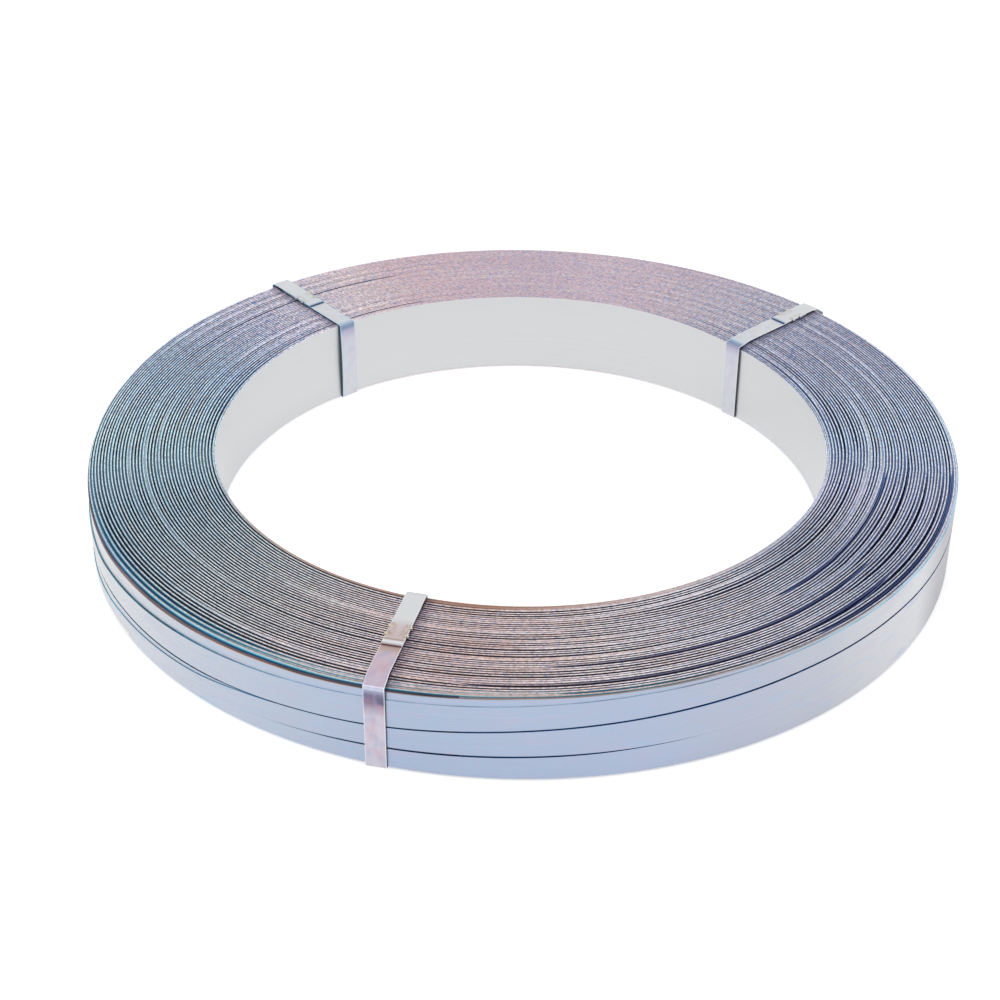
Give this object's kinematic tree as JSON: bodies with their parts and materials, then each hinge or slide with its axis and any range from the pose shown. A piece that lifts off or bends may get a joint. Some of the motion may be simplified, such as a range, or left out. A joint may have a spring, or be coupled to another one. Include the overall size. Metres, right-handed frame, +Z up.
{
  "type": "steel strapping coil",
  "caption": "Flat coil of steel strapping, wound several widths abreast round an open bore and bound by narrow steel ties with notched joints.",
  "frame": {"origin": "on the floor under the middle of the coil's bore, level with the undersides of the ties that it lies on", "axes": "+Z up along the coil's winding axis; -Y towards the front tie's side"},
  "size_m": [0.579, 0.579, 0.0624],
  "materials": {
    "coil_steel": "cold-rolled strap, bare and lightly oiled, with slit edges",
    "tie_steel": "cold-rolled strap, pale and satin"
  },
  "bodies": {
    "root": {"strapping_coil": "coil_steel", "tie_front": "tie_steel", "tie_right": "tie_steel", "tie_left": "tie_steel"}
  },
  "joints": []
}
